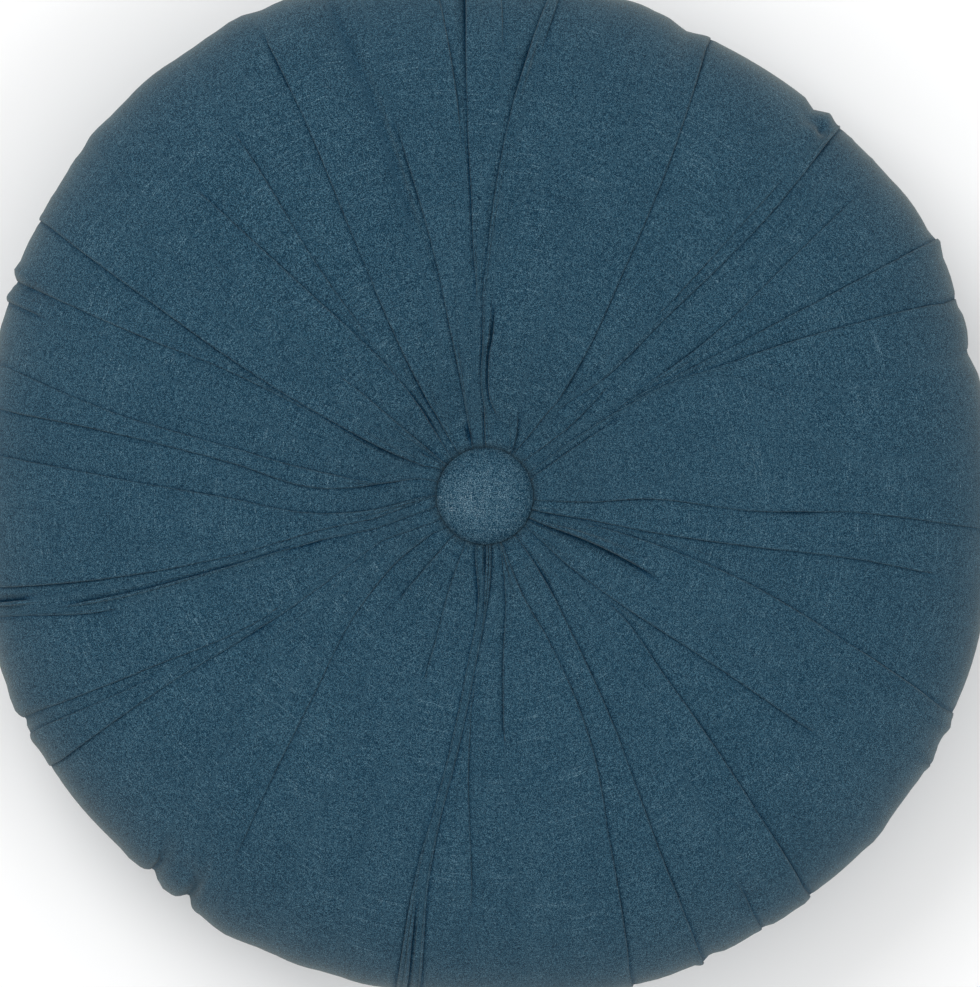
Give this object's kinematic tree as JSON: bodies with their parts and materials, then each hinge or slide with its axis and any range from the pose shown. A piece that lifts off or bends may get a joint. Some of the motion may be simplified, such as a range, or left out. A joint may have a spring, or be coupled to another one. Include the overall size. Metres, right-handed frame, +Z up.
{
  "type": "round tufted cushion",
  "caption": "Round filled cushion of gathered cloth, drawn in by a covered button in the middle of each face.",
  "frame": {"origin": "on the surface that the cushion lies on, under the middle of its outline", "axes": "+Z up, out of the face that shows; +X to the right and +Y to the top of that face"},
  "size_m": [0.3976, 0.4019, 0.1098],
  "materials": {
    "cover_cloth": "matt plain-woven cotton or linen cloth, dark teal blue",
    "button_cloth": "the same cloth stretched over a button, a little lighter"
  },
  "bodies": {
    "root": {"cover": "cover_cloth", "front_button": "button_cloth", "back_button": "button_cloth"}
  },
  "joints": []
}
